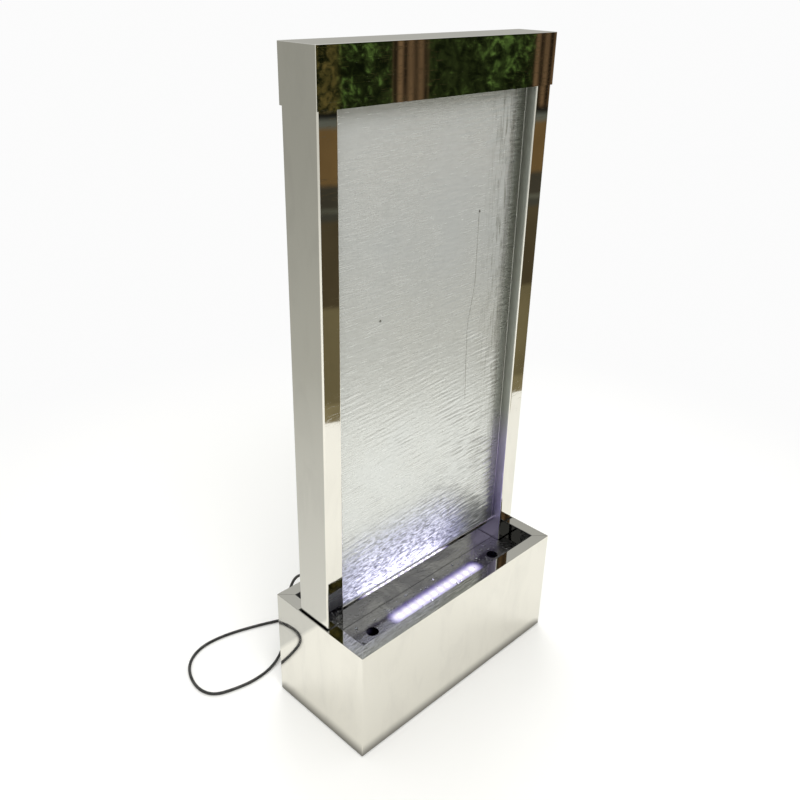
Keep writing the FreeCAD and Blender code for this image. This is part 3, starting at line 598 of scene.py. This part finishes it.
def standing_drops(name, low, high, keep_clear, count, seed, body):
    """Flattened drops scattered over a rectangle: each is a cap whose height follows the square root of
    one less the square of the distance from its middle, and whose outline wavers by a sixth."""
    draw = np.random.default_rng(seed)
    middles = np.stack([draw.uniform(low[0], high[0], count), draw.uniform(low[1], high[1], count)], axis=1)
    clear = np.all([np.hypot(middles[:, 0] - x, middles[:, 1] - y) > gap for x, y, gap in keep_clear], axis=0)
    middles = middles[clear]
    smallest, spread = 0.0009, 0.0020
    flatness = 0.42
    sizes = smallest + spread * draw.random(len(middles)) ** 2.5
    phase = draw.uniform(0, 2 * math.pi, len(middles))
    angle = np.linspace(0, 2 * math.pi, 14, endpoint=False)
    rings = np.array([1.0, 0.94, 0.75, 0.45, 0.12])
    waver = 1 + 0.16 * np.sin(2 * angle[None, :] + phase[:, None]) + 0.06 * np.cos(3 * angle[None, :])
    reach = sizes[:, None, None] * rings[None, :, None] * waver[:, None, :]
    height = sizes[:, None, None] * flatness * np.sqrt(1 - (rings * 0.999) ** 2)[None, :, None]
    x = middles[:, 0, None, None] + reach * np.cos(angle)
    y = middles[:, 1, None, None] + reach * np.sin(angle)
    z = low[2] + 0.00005 + height + 0 * x
    drops, levels, sides = x.shape
    index = np.arange(drops * levels * sides).reshape(drops, levels, sides)
    ahead = np.roll(index, -1, axis=2)
    walls = np.stack([index[:, :-1], ahead[:, :-1], ahead[:, 1:], index[:, 1:]], axis=-1).reshape(-1, 4)
    faces = walls.tolist() + index[:, 0, ::-1].tolist() + index[:, -1].tolist()
    made = meshed(name, np.stack([x, y, z], axis=-1), faces, clear_water)
    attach(made, body)
    return made


clear_water = make_clear_water()
cover_low, cover_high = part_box("cover_plate")
light_gap = 0.0060
finger_hole_x, finger_hole_y, finger_hole_gap = 0.145, -0.039, 0.0135
wet_half = 0.180
row_clear = [(x, light_row_y, light_gap) for x in np.linspace(light_low.x + 0.004, light_high.x - 0.004, 24)]
finger_holes = [(x, finger_hole_y, finger_hole_gap) for x in (-finger_hole_x, finger_hole_x)]
standing_drops("cover_drops", (-wet_half, cover_low.y + 0.004, cover_high.z),
               (wet_half, cover_high.y - 0.006, cover_high.z), row_clear + finger_holes, count=230, seed=5,
               body="lift_out_cover")


# Plain steelwork below the covers and inside the posts: ledges, light brackets, foot angles, post caps
# and the trough. Stainless sheet as it left the mill, with a grain in one direction.
def make_brushed_grain():
    """Rolled grain: noise drawn out a hundredfold along X."""
    tree, given, result = effect("brushed_grain", ["Lines", "Stain"])
    where = given["Vector"]
    tree.links.new(noise(tree, stretch(tree, where, (14.0, 1500.0, 1500.0)), 1.0, 4.0, 0.6), result["Lines"])
    tree.links.new(remap(tree, noise(tree, where, 34.0, 5.0, 0.6, 0.4), 0.45, 0.75), result["Stain"])
    return tree


brushed_grain = make_brushed_grain()


def brushed(name, dark, pale, low, high):
    """Steel with a rolled grain, water stains and bright edges, partly cut and partly a painted highlight."""
    made, tree, shader, where = new_finish(name, Metallic=1.0)
    grain = use(tree, brushed_grain, Vector=where)
    rubbed_and_highlit = use(tree, worn_and_highlit_edges, Vector=where, Radius=0.0006)["Edge"]
    body = tint(tree, grain["Lines"], dark, pale)
    body = tint(tree, times(tree, grain["Stain"], 0.4), body, tuple(c * 0.6 for c in dark))
    # Edges are made brighter, partly as cut metal and partly as a painted highlight.
    body = tint(tree, times(tree, rubbed_and_highlit, 0.6), body, (0.86, 0.86, 0.85))
    feed(tree, shader, Base_Color=body, Roughness=remap(tree, grain["Lines"], 0.3, 0.7, low, high),
         Normal=dent(tree, grain["Lines"], 0.00003))
    return made


dress(brushed("mill_steel", (0.50, 0.50, 0.49), (0.66, 0.66, 0.65), 0.26, 0.42), "front_ledge",
      "led_brackets", "left_foot_angle", "right_foot_angle", "left_post_cap", "right_post_cap", "weir_trough")
dress(brushed("screw_steel", (0.55, 0.55, 0.55), (0.72, 0.72, 0.71), 0.16, 0.30), "foot_screws",
      "panel_screws", "hose_clamp")


# Lights. Twelve clear domes stand up through the cover from a board in a white extruded channel, and
# shine cool white.
def make_lit_dome():
    """A lit dome: white at its core and violet towards its rim, a little unlike its neighbours."""
    made, tree, shader, where = new_finish("lit_dome", IOR=1.49, Emission_Strength=5.5)
    rim = place(tree, "ShaderNodeLayerWeight", {"Blend": 0.35}).outputs["Facing"]
    unlike = noise(tree, where, 70.0, 1.0)
    glow = tint(tree, remap(tree, rim, 0.25, 0.95), (1.0, 0.98, 1.0), (0.42, 0.34, 1.0))
    feed(tree, shader, Base_Color=tint(tree, unlike, (0.86, 0.85, 0.95), (0.94, 0.93, 1.0)),
         Emission_Color=glow, Roughness=remap(tree, unlike, 0.3, 0.7, 0.04, 0.12),
         Normal=dent(tree, unlike, 0.0001))
    return made


dress(make_lit_dome(), "led_domes")


def make_light_board():
    """White solder mask with a copper pad round each light and another midway between each pair: pads are
    where one wave along the board nears its top or its bottom.
    """
    made, tree, shader, where = new_finish("light_board", Roughness=0.35)
    along = sums(tree, "COSINE", times(tree, axes(tree, where)[0], 2 * math.pi / light_pitch))
    pads = remap(tree, sums(tree, "ABSOLUTE", along), 0.90, 0.93)
    cloudy = noise(tree, where, 300.0, 3.0)
    feed(tree, shader, Base_Color=tint(tree, pads, (0.86, 0.86, 0.82), (0.70, 0.42, 0.20)), Metallic=pads,
         Roughness=remap(tree, cloudy, 0.3, 0.7, 0.28, 0.45), Normal=dent(tree, pads, 0.00004))
    return made


dress(make_light_board(), "led_board")
dress(moulded("white_plastic", (0.78, 0.78, 0.75), (0.86, 0.86, 0.84), 0.40, grains=700.0,
              grain_height=0.00003, dusty=0.2), "led_channel", "led_end_caps", "spray_bar", "bar_clips")
dress(cord_sheath, "led_lead", "pump_lead")


# Posts. Rectangular tubes of polished stainless, 32 by 65 mm, that stand on the basin's floor. Spray from the
# panel leaves their inner faces misted, and these faces are painted darker as shade, with painted violet
# light low down.
dress(make_mirror_steel("post_steel", wet_shaded_face=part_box("right_post")[0].x), "left_post", "right_post")


# Water panel. Satin stainless sheet that is screwed between the posts, with a bright rounded hem along
# its bottom edge, where the water leaves it.
hem_top = 0.2072


def make_satin_panel():
    """Satin sheet, wet all over; its hem is polished."""
    made, tree, shader, where = new_finish("satin_panel", Metallic=1.0)
    grain = use(tree, brushed_grain, Vector=where)
    hem = remap(tree, axes(tree, where)[2], hem_top + 0.0002, hem_top - 0.0002)
    satin = remap(tree, grain["Lines"], 0.3, 0.7, 0.26, 0.38)
    dull = place(tree, "ShaderNodeMix", {0: hem, 2: satin, 3: 0.10}, data_type="FLOAT").outputs[0]
    body = tint(tree, grain["Lines"], (0.68, 0.69, 0.69), (0.76, 0.77, 0.77))
    feed(tree, shader, Base_Color=tint(tree, hem, body, (0.82, 0.82, 0.81)), Roughness=dull,
         Normal=dent(tree, grain["Lines"], 0.00002))
    return made


dress(make_satin_panel(), "water_panel")


# Water on the panel. A film under a millimetre thick creeps down the sheet from the trough's edge, in
# fine wrinkles that lie almost level, with one thin rivulet where the film parts.
panel_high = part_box("water_panel")[1]
film_half = panel_high.x - 0.0016
film_back = -0.00066
film_thin = 0.00055
rivulet_low, rivulet_high = 0.470, 0.780
rivulet_x = 0.0842
bend_low, bend_high, bend_by = 0.590, 0.680, 0.0120
foot_high, foot_by = 0.596, 0.005


def wrinkles(x, z, count, crest, height, lean, seed):
    """The sum of many small waves whose crests lie almost level: each has its own length between crests,
    lean, phase and strength, and the sum is scaled to the given height."""
    draw = np.random.default_rng(seed)
    total = np.zeros(np.broadcast(x, z).shape)
    for _ in range(count):
        upwards = 2 * math.pi / draw.uniform(*crest)
        sideways = upwards * draw.normal(lean, 0.085)
        strength = draw.uniform(0.4, 1.0)
        total += strength * np.sin(sideways * x + upwards * z + draw.uniform(0, 2 * math.pi))
    return total * height / math.sqrt(count)


def film_surface():
    """The film's front on a grid: a thin base, wrinkles that swell and fade in patches, stronger low
    down and to the right, and a rivulet, which is a bell curve along a line that sways."""
    columns, rows = 130, 470
    near_rivulet = np.arange(0.0815, 0.0995, 0.0005)
    x = np.sort(np.concatenate([np.linspace(-film_half, film_half, columns), near_rivulet]))[None, :]
    z = np.linspace(hem_top, panel_high.z - 0.002, rows)[:, None]
    patches = 0.5 + 0.5 * np.clip(wrinkles(x * 0.25, z * 0.12, 12, (0.012, 0.03), 1.0, 0.6, 3), -1, 1)
    lower = np.clip((0.62 - z) / 0.42, 0, 1)
    right = np.clip((x + 0.02) / 0.2, 0, 1)
    calm = 0.45 + 0.90 * lower + 2.10 * lower * right + 0.60 * right
    ripple = wrinkles(x, z, 36, (0.0058, 0.012), 0.00016, -0.06, 11)
    ripple += wrinkles(x, z, 24, (0.0040, 0.006), 0.00008, -0.05, 12)
    bend = np.clip((z - bend_low) / (bend_high - bend_low), 0, 1)
    foot = np.clip((foot_high - z) / (foot_high - rivulet_low), 0, 1)
    line_x = rivulet_x + bend_by * bend ** 2 * (3 - 2 * bend) + foot_by * foot
    fading, rivulet_half, rivulet_thick = 0.03, 0.0011, 0.00045
    along = np.clip((z - rivulet_low) / fading, 0, 1) * np.clip((rivulet_high - z) / fading, 0, 1)
    rivulet = rivulet_thick * np.exp(-((x - line_x) / rivulet_half) ** 2) * along
    side_taper, hem_taper = 0.004, 0.006
    edge = np.clip((film_half - np.abs(x)) / side_taper, 0, 1) * np.clip((z - hem_top) / hem_taper, 0, 1)
    front = film_back - film_thin - (ripple * calm * (0.45 + 0.8 * patches)) * edge - rivulet
    grid = np.stack([x + 0 * z, np.minimum(front, film_back - 0.0001), z + 0 * x], axis=-1)
    rim = np.pad(grid, ((1, 1), (1, 1), (0, 0)), mode="edge")
    for border in (rim[0], rim[-1], rim[:, 0], rim[:, -1]):
        border[..., 1] = film_back
    return rim


def make_running_water():
    """The film of water with the bright sheet seen through it: silvery and glossy, with dark runs, a ragged
    band painted dark as shade beside the right post, two flecks, a painted glow above the row of lights with
    painted shade dappled round it, and painted shade low down to the right and in the bottom right corner."""
    made, tree, shader, where = new_finish("running_water", Coat_Roughness=0.04, Coat_IOR=1.33,
                                           Coat_Weight=0.5)
    streaks = noise(tree, stretch(tree, where, (30.0, 30.0, 400.0), (0.0, 0.05, 0.0)), 1.0, 4.0, 0.6, 0.3)
    clouds = noise(tree, where, 9.0, 3.0)
    specks = cell_distance(tree, where, 420.0)
    body = tint(tree, streaks, (0.62, 0.655, 0.67), (0.80, 0.835, 0.85))
    body = tint(tree, remap(tree, clouds, 0.35, 0.75, 0.0, 0.35), body, (0.70, 0.715, 0.69))
    dull = plus(tree, remap(tree, streaks, 0.3, 0.7, 0.15, 0.28), remap(tree, clouds, 0.3, 0.7, 0, 0.06))
    x, _, z = axes(tree, where)
    runs = noise(tree, stretch(tree, where, (330.0, 1.0, 22.0)), 1.0, 3.0, 0.6, 0.6)
    runny = times(tree, remap(tree, x, 0.095, 0.150, smooth=True),
                 remap(tree, z, 0.35, 0.65, 0.3, 1.0))
    body = tint(tree, times(tree, runny, remap(tree, runs, 0.50, 0.62, 0.0, 0.75)), body,
                (0.30, 0.31, 0.28))
    # A ragged band beside the right post is painted dark as shade; the film is also more metallic there.
    ragged = plus(tree, x, times(tree, streaks, 0.022))
    post_shade = times(tree, remap(tree, ragged, 0.158, 0.192, smooth=True),
                remap(tree, z, 0.25, 0.75, 0.80, 1.0))
    body = tint(tree, post_shade, body, (0.115, 0.12, 0.105))
    line = plus(tree, remap(tree, z, bend_low, bend_high, rivulet_x, rivulet_x + bend_by, smooth=True),
                remap(tree, z, rivulet_low, foot_high, foot_by, 0.0))
    beside = sums(tree, "ABSOLUTE", sums(tree, "SUBTRACT", x, line))
    along = times(tree, remap(tree, z, rivulet_low, rivulet_low + 0.02),
                  remap(tree, z, rivulet_high, rivulet_high - 0.01))
    body = tint(tree, times(tree, remap(tree, beside, 0.0013, 0.0004, 0.0, 0.7), along), body,
                (0.25, 0.255, 0.23))
    for fleck in ((-0.0994, film_back, 0.6587), (0.0975, film_back, 0.7777)):
        apart = vectors(tree, "DISTANCE", where, fleck)["Value"]
        body = tint(tree, remap(tree, apart, 0.0024, 0.0014), body, (0.10, 0.10, 0.09))
    fine = dent(tree, streaks, 0.00025)
    # Above the row of lights the film is given a painted glow, with painted shade dappled round it.
    glow_x, glow_half = -0.050, 0.070
    aside = sums(tree, "ABSOLUTE", sums(tree, "SUBTRACT", x, glow_x))
    past = sums(tree, "MAXIMUM", sums(tree, "SUBTRACT", aside, glow_half), 0.0)
    reach = reach_of(tree, past, times(tree, sums(tree, "SUBTRACT", z, hem_top), 0.85))
    dapple = noise(tree, stretch(tree, where, (90.0, 1.0, 260.0), (0.0, 0.12, 0.0)), 1.0, 4.0, 0.7, 0.8)
    glow = times(tree, remap(tree, reach, 0.115, 0.0, smooth=True),
                remap(tree, dapple, 0.40, 0.60, 0.15, 1.3))
    glow = times(tree, glow, remap(tree, z, hem_top + 0.001, hem_top + 0.005, 0.15, 1.0))
    shaded = times(tree, remap(tree, reach, 0.13, 0.03), remap(tree, dapple, 0.52, 0.42, 0.0, 0.75))
    body = tint(tree, shaded, body, (0.22, 0.22, 0.25))
    # Low down to the right the film is painted darker as shade.
    lower_right_shade = times(tree, remap(tree, x, -0.02, 0.10), remap(tree, z, 0.48, 0.30))
    body = tint(tree, times(tree, lower_right_shade, remap(tree, streaks, 0.50, 0.40, 0.0, 0.8)), body,
                (0.26, 0.27, 0.27))
    # The bottom right corner is painted darker as shade.
    corner = times(tree, remap(tree, x, 0.00, 0.06, smooth=True),
                  remap(tree, z, 0.285, 0.225, smooth=True))
    body = tint(tree, times(tree, corner, remap(tree, streaks, 0.56, 0.46, 0.22, 0.78)), body,
                (0.20, 0.205, 0.215))
    feed(tree, shader, Base_Color=body, Roughness=dull, Metallic=remap(tree, post_shade, 0.0, 1.0, 0.45, 0.9),
         Emission_Color=tint(tree, glow, (0.42, 0.44, 1.0), (0.82, 0.80, 1.0)),
         Emission_Strength=times(tree, glow, 0.85), Normal=dent(tree, specks, 0.00003, 0.5, fine))
    return made


def close_back(piece, rows, columns):
    """Adds the flat back of a sheet as one face round the border of its grid."""
    index = np.arange(rows * columns).reshape(rows, columns)
    border = np.concatenate([index[0, :-1], index[:-1, -1], index[-1, :0:-1], index[:0:-1, 0]])
    shell = bmesh.new()
    shell.from_mesh(piece.data)
    shell.verts.ensure_lookup_table()
    back = shell.faces.new([shell.verts[int(i)] for i in border])
    back.smooth = False
    bmesh.ops.recalc_face_normals(shell, faces=shell.faces)
    shell.to_mesh(piece.data)
    shell.free()


film_points = film_surface()
water_film = surface("water_film", film_points, make_running_water(), wrap=False)
close_back(water_film, *film_points.shape[:2])
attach(water_film, "stand")


# Riser hose. Clear soft PVC, a little cloudy. It leads from the pump up inside the right post to the
# spray bar in the trough.
def make_clear_hose():
    """Translucent hose: cloudy, with faint rings from the winding of its wall."""
    made, tree, shader, where = new_finish("clear_hose", Transmission_Weight=0.55, IOR=1.45)
    cloudy = noise(tree, where, 120.0, 3.0)
    rings = noise(tree, stretch(tree, where, (60.0, 60.0, 1400.0)), 1.0, 2.0)
    feed(tree, shader, Base_Color=tint(tree, cloudy, (0.66, 0.72, 0.70), (0.80, 0.84, 0.82)),
         Roughness=remap(tree, cloudy, 0.3, 0.7, 0.18, 0.34), Normal=dent(tree, rings, 0.00005))
    return made


dress(make_clear_hose(), "riser_hose")


# Header. A folded cap of polished stainless that drops over both posts and hides the trough. It lifts
# off, and it stays drier than the posts, so that it is a plain mirror.
dress(make_mirror_steel("mirror_steel"), "header_cover")


# Pump. A small submersible pump: black potted body, dark grey covers and dial, black foam filter,
# ferrite impeller on a ceramic shaft.
dress(moulded("pump_plastic", (0.014, 0.014, 0.015), (0.028, 0.028, 0.030), 0.42), "pump_body",
      "outlet_barb", "cable_joint")
dress(moulded("cover_plastic", (0.10, 0.11, 0.13), (0.15, 0.16, 0.185), 0.45), "volute_cover",
      "intake_cover", "flow_dial")
dress(moulded("ferrite", (0.075, 0.075, 0.080), (0.12, 0.12, 0.125), 0.50, grains=2600.0,
              grain_height=0.00002), "impeller")
dress(moulded("ceramic", (0.80, 0.79, 0.76), (0.88, 0.87, 0.84), 0.18, grains=3200.0,
              grain_height=0.000005, dusty=0.05), "impeller_shaft")


def make_filter_foam():
    """Open cell foam: deep round cells of two sizes, black, painted darker in their middles as shade in the
    hollows, and paler on their walls.
    """
    made, tree, shader, where = new_finish("filter_foam", Roughness=0.92)
    both = plus(tree, cell_distance(tree, where, 620.0), times(tree, cell_distance(tree, where, 1500.0), 0.4))
    feed(tree, shader, Base_Color=tint(tree, both, (0.006, 0.006, 0.006), (0.055, 0.055, 0.053)),
         Normal=dent(tree, both, 0.0006))
    return made


dress(make_filter_foam(), "filter_foam")


# Floor. It isn't part of the fountain. To the eye it is plain and pale; the polished faces see it cream
# in front of the fountain and grey behind it.
def sheet_at(name, corners, material, **sight):
    """A flat four-cornered stage piece, seen only by the rays that sight allows."""
    made = meshed(name, corners, [(0, 1, 2, 3)], material, smooth=False)
    for ray, seen in sight.items():
        setattr(made, "visible_" + ray, seen)
    return made


basin_half = (0.2225, 0.100, 0.0)


def make_pale_floor():
    """White to the camera and lost in the pale sky further off; in reflections cream in front, grey behind
    and dimmer far off, with a painted shadow close round the basin."""
    made, tree, shader, where = new_finish("pale_floor", Roughness=0.9, Specular_IOR_Level=0.0,
                                           Emission_Strength=1.0)
    seen = place(tree, "ShaderNodeLightPath").outputs["Is Camera Ray"]
    away = vectors(tree, "LENGTH", where)["Value"]
    behind = remap(tree, axes(tree, where)[1], 0.172, 0.182)
    grey = tint(tree, remap(tree, away, 0.35, 1.5), (0.62, 0.615, 0.58), (0.42, 0.415, 0.375))
    drift = noise(tree, where, 3.0, 2.0)
    cream = tint(tree, drift, (0.84, 0.82, 0.75), (0.90, 0.885, 0.83))
    outside = vectors(tree, "SUBTRACT", vectors(tree, "ABSOLUTE", where)["Vector"], basin_half)["Vector"]
    outside = vectors(tree, "MAXIMUM", outside)["Vector"]
    gap = vectors(tree, "LENGTH", outside)["Value"]
    plain_mirrored = tint(tree, behind, cream, grey)
    # Close round the basin the mirrored floor is painted darker as shadow.
    mirrored = tint(tree, remap(tree, gap, 0.0, 0.10, 0.90, 1.0), (0.30, 0.29, 0.265), plain_mirrored)
    mirrored = tint(tree, remap(tree, gap, 0.0, 0.018, smooth=True), (0.24, 0.235, 0.215), mirrored)
    far = times(tree, seen, remap(tree, away, 0.7, 1.5, smooth=True))
    plain = tint(tree, far, (0.93, 0.93, 0.925), (0.0, 0.0, 0.0))
    feed(tree, shader, Base_Color=tint(tree, seen, mirrored, plain),
         Emission_Color=tint(tree, far, (0.0, 0.0, 0.0), (0.97, 0.97, 0.97)))
    return made


floor_reach = 40.0
sheet_at("pale_floor", [(-floor_reach, -floor_reach, 0), (floor_reach, -floor_reach, 0),
                        (floor_reach, floor_reach, 0), (-floor_reach, floor_reach, 0)], make_pale_floor())


# Dark screen. It isn't part of the fountain either: it stands in front and to the right, where only
# polished faces see it, and gives them leaves and canes to mirror.
def make_garden_screen():
    """Dim canes and leaves: canes are upright waves, leaves are broken clouds with bright tips, dry and
    brown at one end. Below them lie level bands of wood, shade and stone."""
    made, tree, shader, where = new_finish("garden_screen", Roughness=1.0, Specular_IOR_Level=0.0,
                                           Emission_Strength=1.0)
    turned = stretch(tree, where, (1.0, 1.0, 1.0), (0.0, 0.0, -screen_turn))
    parts = axes(tree, turned)
    sway = noise(tree, stretch(tree, turned, (1.0, 1.0, 0.25)), 2.5, 1.0)
    across = plus(tree, parts[0], remap(tree, sway, 0.0, 1.0, 0.05, 0.08))
    cane_width = 0.0235
    cane = sums(tree, "SINE", times(tree, across, 2 * math.pi / cane_width))
    canes = tint(tree, remap(tree, cane, -0.8, 0.8), (0.012, 0.008, 0.004), (0.17, 0.105, 0.052))
    leaf = noise(tree, stretch(tree, turned, (1.0, 1.0, 0.7)), 46.0, 5.0, 0.75, 1.2)
    leaves = tint(tree, remap(tree, leaf, 0.42, 0.60), (0.004, 0.006, 0.002), (0.024, 0.034, 0.009))
    clumps = [remap(tree, sums(tree, "ABSOLUTE", sums(tree, "SUBTRACT", across, middle)), 0.10, 0.03)
              for middle in (0.245, 0.630)]
    bushy = plus(tree, leaf, times(tree, sums(tree, "MAXIMUM", *clumps), 0.07))
    leaves = tint(tree, remap(tree, bushy, 0.60, 0.70), leaves, (0.12, 0.21, 0.045))
    dry = times(tree, remap(tree, across, 0.215, 0.195), remap(tree, leaf, 0.45, 0.60))
    leaves = tint(tree, dry, leaves, (0.14, 0.105, 0.030))
    wall = leaves
    for start, end in ((0.338, 0.428), (0.700, 0.800)):
        grove = times(tree, remap(tree, across, start, start + 0.006),
                     remap(tree, across, end, end - 0.010))
        wall = tint(tree, grove, wall, canes)
    blurred = noise(tree, stretch(tree, turned, (1.0, 1.0, 0.5)), 9.0, 3.0)
    height = plus(tree, parts[2], times(tree, blurred, 0.02))
    for top, colour in ((0.800, (0.010, 0.010, 0.008)), (0.785, (0.12, 0.125, 0.10)),
                        (0.765, (0.155, 0.095, 0.036)), (0.637, (0.050, 0.044, 0.030)),
                        (0.580, (0.115, 0.115, 0.082)), (0.572, (0.055, 0.052, 0.038)),
                        (0.551, (0.075, 0.057, 0.029)), (0.330, (0.17, 0.138, 0.068)),
                        (0.060, (0.26, 0.215, 0.11))):
        wall = tint(tree, remap(tree, height, top + 0.006, top - 0.006), wall, colour)
    mottle = tint(tree, remap(tree, blurred, 0.3, 0.7), (0.75, 0.75, 0.75), (1.15, 1.15, 1.15))
    feed(tree, shader, Emission_Color=vectors(tree, "MULTIPLY", wall, mottle)["Vector"])
    shader.inputs["Base Color"].default_value = (0, 0, 0, 1)
    return made


screen_start = Vector((0.300, -0.874, 0.0))
screen_end = Vector((1.500, -0.367, 0.0))
screen_height = 1.30
screen_turn = math.atan2(screen_end.y - screen_start.y, screen_end.x - screen_start.x)
upright = Vector((0, 0, screen_height))
sheet_at("garden_screen", [screen_start, screen_end, screen_end + upright, screen_start + upright],
         make_garden_screen(), camera=False, diffuse=False, shadow=False, transmission=False)


# Light. A pale sky, dimmer towards the horizon, two large soft lamps, and a strip that carries the
# glow of the row of lights to the panel.
def make_sky():
    """Plain and pale to the camera; in reflections bright overhead and grey at the horizon."""
    world = bpy.data.worlds.new("studio_sky")
    world.use_nodes = True
    tree = world.node_tree
    background = tree.nodes["Background"]
    direction = place(tree, "ShaderNodeTexCoord").outputs["Generated"]
    parts = axes(tree, direction)
    rise = remap(tree, parts[2], 0.35, 0.95, smooth=True)
    sky = tint(tree, rise, (0.44, 0.435, 0.40), (1.05, 1.05, 1.03))
    seen = place(tree, "ShaderNodeLightPath").outputs["Is Camera Ray"]
    tree.links.new(tint(tree, seen, sky, (0.97, 0.97, 0.97)), background.inputs["Color"])
    background.inputs["Strength"].default_value = 1.0
    bpy.context.scene.world = world


def lamp(name, at, aim, width, height, watts, colour, shown=True):
    """A flat rectangular lamp at one point, turned to face another."""
    data = bpy.data.lights.new(name, "AREA")
    data.shape = "RECTANGLE"
    data.size = width
    data.size_y = height
    data.energy = watts
    data.color = colour
    made = stood(name, data)
    aimed = (Vector(aim) - Vector(at)).to_track_quat("-Z", "Y")
    made.matrix_world = Matrix.Translation(at) @ aimed.to_matrix().to_4x4()
    made.visible_camera = False
    made.visible_glossy = shown
    return made


make_sky()
lamp("soft_lamp_front", (-1.1, -1.6, 2.4), (0, 0, 0.7), width=1.6, height=1.6, watts=42.0,
     colour=(1.0, 0.99, 0.97), shown=False)
lamp("soft_lamp_rear", (1.2, 1.4, 2.2), (0, 0, 0.4), width=1.4, height=1.4, watts=16.0,
     colour=(0.97, 0.98, 1.0), shown=False)
lamp("row_glow", (0, light_row_y, light_high.z + 0.002), (0, 0.02, 0.26), width=2 * row_half,
     height=0.006, watts=0.016, colour=(0.78, 0.72, 1.0))
